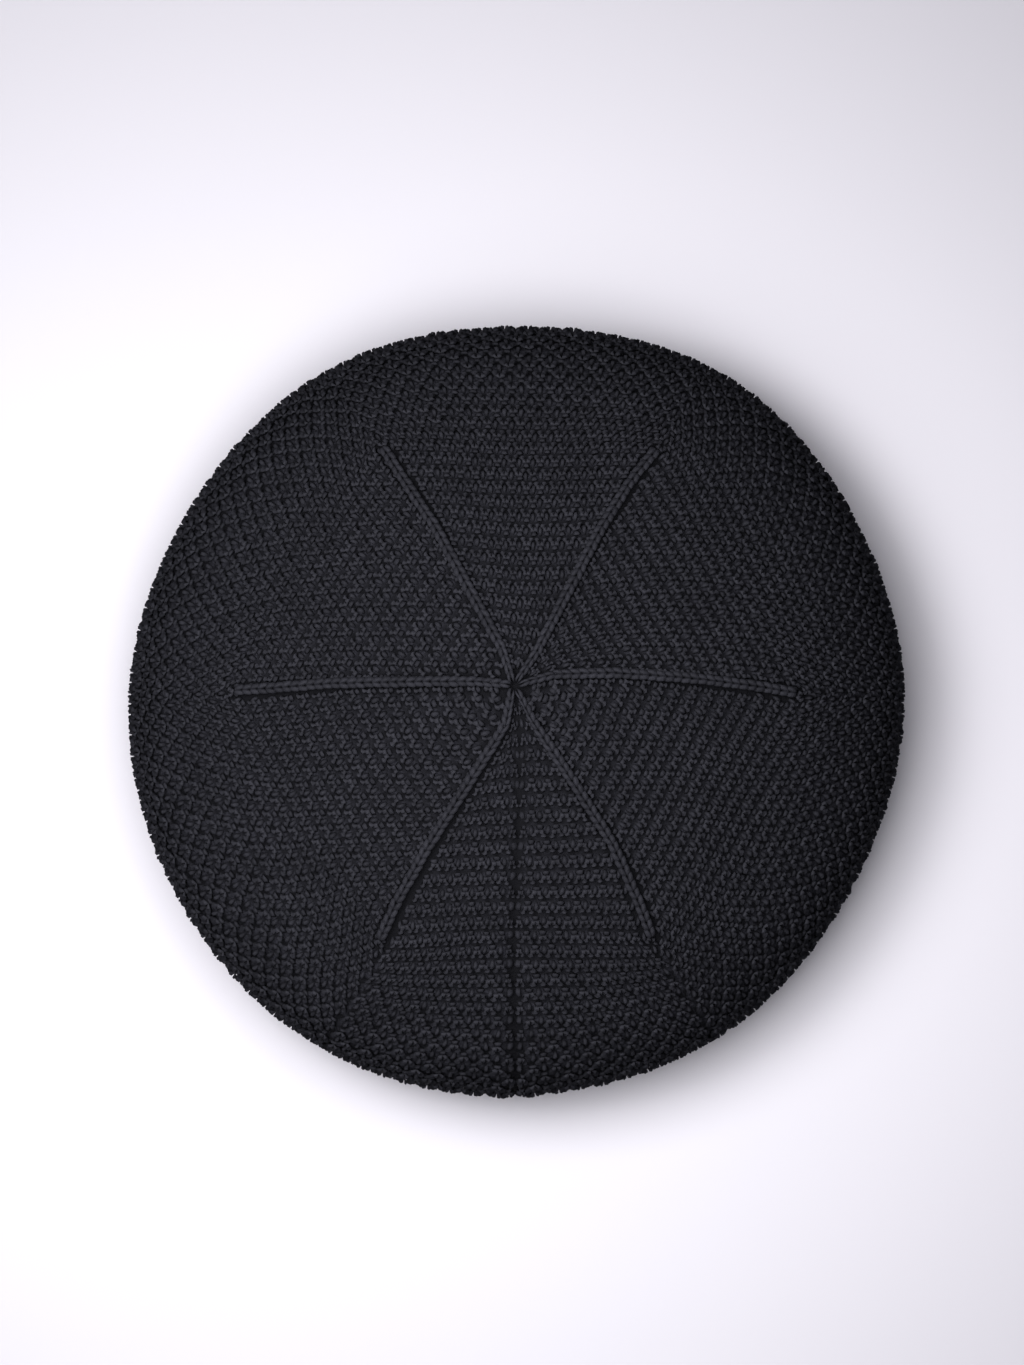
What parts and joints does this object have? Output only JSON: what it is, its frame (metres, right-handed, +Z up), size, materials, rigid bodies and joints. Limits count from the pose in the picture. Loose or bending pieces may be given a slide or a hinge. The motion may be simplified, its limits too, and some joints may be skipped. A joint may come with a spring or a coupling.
{
  "type": "knit beret",
  "caption": "Soft hollow knitted beret: low domed crown with raised ribs meeting at the middle, a rounded rim, a back seam and a plain head band that it rests on.",
  "frame": {"origin": "under the middle of the outline, on the surface that the head band rests on", "axes": "+Z up through the crown, -Y towards the back seam, +X to the right when the seam is nearest the viewer"},
  "size_m": [0.274, 0.2728, 0.0944],
  "materials": {
    "crown_knit": "matt near-black knit in a tuck stitch, with small dark holes and a faint fuzz",
    "band_knit": "matt near-black plain knit"
  },
  "bodies": {
    "root": {"crown": "crown_knit", "head_band": "band_knit"}
  },
  "joints": []
}
